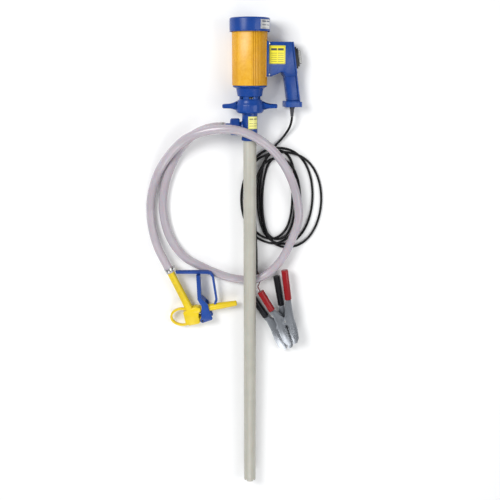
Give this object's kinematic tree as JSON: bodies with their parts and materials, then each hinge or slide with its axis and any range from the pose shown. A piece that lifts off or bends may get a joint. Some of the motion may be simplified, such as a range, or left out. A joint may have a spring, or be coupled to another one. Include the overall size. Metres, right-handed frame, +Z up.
{
  "type": "electric drum pump",
  "caption": "Electric drum pump for oil lying flat: finned motor with grip handle, long immersion tube, delivery hose with trigger nozzle, cable with two battery clamps.",
  "frame": {"origin": "on the floor, under the middle of the pump itself (its tube, head, motor and handle)", "axes": "+Z up from the floor the set lies on, +Y along the pump from its foot to its motor, +X to the side of the handle"},
  "size_m": [0.5765, 1.564, 0.1228],
  "materials": {
    "blue_plastic": "satin moulded royal-blue plastic",
    "yellow_paint": "semi-gloss golden-yellow paint on die-cast fins",
    "tube_plastic": "matt warm grey polypropylene",
    "hose_pvc": "translucent grey PVC",
    "nozzle_yellow": "satin yellow plastic",
    "nozzle_blue": "satin blue plastic",
    "black_rubber": "matt black rubber",
    "black_plastic": "matt black plastic",
    "red_grip": "glossy red dipped vinyl",
    "clear_cover": "clear splash cover",
    "zinc": "bright zinc-plated sheet steel",
    "steel": "plain machined steel",
    "carbon": "pressed carbon",
    "ptfe": "white PTFE"
  },
  "bodies": {
    "pump_set": {"outer_tube": "tube_plastic", "pump_foot": "tube_plastic", "inner_tube": "tube_plastic", "tube_spacer": "ptfe", "lower_shaft_bush": "ptfe", "upper_shaft_bush": "ptfe", "pump_head": "blue_plastic", "shaft_seal": "black_rubber", "outlet_union_nut": "blue_plastic", "hose_barb": "blue_plastic", "outlet_hose_clamp": "steel", "motor_housing": "yellow_paint", "fan_cap": "blue_plastic", "lower_flange": "blue_plastic", "rear_bearing_plate": "blue_plastic", "front_bearing": "steel", "rear_bearing": "steel", "stator": "steel", "left_brush": "carbon", "right_brush": "carbon", "handle_shell": "blue_plastic", "rear_cover": "blue_plastic", "cable_gland": "black_rubber", "switch_frame": "black_plastic", "switch_cover": "clear_cover", "nozzle_body": "nozzle_yellow", "nozzle_spout": "nozzle_yellow", "nozzle_guard": "nozzle_blue", "nozzle_pivot_pin": "black_plastic", "valve_spring": "steel", "nozzle_hose_clamp": "black_plastic", "hose": "hose_pvc", "power_lead": "black_rubber", "cable_coil": "black_rubber", "cable_tail": "black_rubber", "red_wire": "red_grip", "black_wire": "black_rubber", "red_clamp_fixed_jaw": "zinc", "red_grip_fixed": "red_grip", "red_clamp_pin": "steel", "red_clamp_spring": "steel", "black_clamp_fixed_jaw": "zinc", "black_grip_fixed": "black_plastic", "black_clamp_pin": "steel", "black_clamp_spring": "steel"},
    "motor_rotor": {"armature": "steel", "cooling_fan": "black_plastic", "drive_coupling": "steel"},
    "pump_rotor": {"pump_shaft": "steel", "impeller": "black_plastic", "shaft_coupling": "steel"},
    "wing_nut": {"wing_nut": "blue_plastic"},
    "switch_rocker": {"switch_rocker": "black_plastic"},
    "nozzle_trigger": {"nozzle_trigger": "nozzle_blue"},
    "nozzle_stem": {"nozzle_stem": "steel"},
    "red_clamp_jaw": {"red_clamp_moving_jaw": "zinc", "red_grip_moving": "red_grip"},
    "black_clamp_jaw": {"black_clamp_moving_jaw": "zinc", "black_grip_moving": "black_plastic"}
  },
  "joints": [
    {"name": "motor_spin", "type": "hinge", "parent": "pump_set", "child": "motor_rotor", "pos_m": [-0.03558, 0.64511, 0.05937], "axis": [0, 0.9999, 0.0164], "continuous": true},
    {"name": "pump_shaft_spin", "type": "hinge", "parent": "pump_set", "child": "pump_rotor", "pos_m": [-0.03558, -0.18178, 0.0458], "axis": [0, 0.9999, 0.0164], "continuous": true},
    {"name": "wing_nut_turn", "type": "hinge", "parent": "pump_set", "child": "wing_nut", "pos_m": [-0.03558, 0.52312, 0.05737], "axis": [0, 0.9999, 0.0164], "range_deg": [0, 750]},
    {"name": "switch_rock", "type": "hinge", "parent": "pump_set", "child": "switch_rocker", "pos_m": [0.10747, 0.66774, 0.02802], "axis": [-0.2165, 0.016, -0.9762], "range_deg": [0, 16]},
    {"name": "trigger_squeeze", "type": "hinge", "parent": "pump_set", "child": "nozzle_trigger", "pos_m": [-0.19458, -0.18362, 0.01939], "axis": [0, -0.108, 0.9942], "range_deg": [0, 15], "stiffness_Nm_per_rad": 1.5, "springref_deg": -20.05},
    {"name": "valve_stem_slide", "type": "slide", "parent": "pump_set", "child": "nozzle_stem", "axis": [-1, 0, 0], "range_m": [0, 0.006]},
    {"name": "red_clamp_open", "type": "hinge", "parent": "pump_set", "child": "red_clamp_jaw", "pos_m": [0.08242, -0.1817, 0.0402], "axis": [0, 0, -1], "range_deg": [0, 24], "stiffness_Nm_per_rad": 2, "springref_deg": -28.65},
    {"name": "black_clamp_open", "type": "hinge", "parent": "pump_set", "child": "black_clamp_jaw", "pos_m": [0.06442, -0.2097, 0.0134], "axis": [0, 0, -1], "range_deg": [0, 24], "stiffness_Nm_per_rad": 2, "springref_deg": -28.65}
  ],
  "couplings": [
    {"joint": "pump_shaft_spin", "follows": "motor_spin", "ratio": 1},
    {"joint": "valve_stem_slide", "follows": "trigger_squeeze", "m_per_rad": 0.0225}
  ]
}
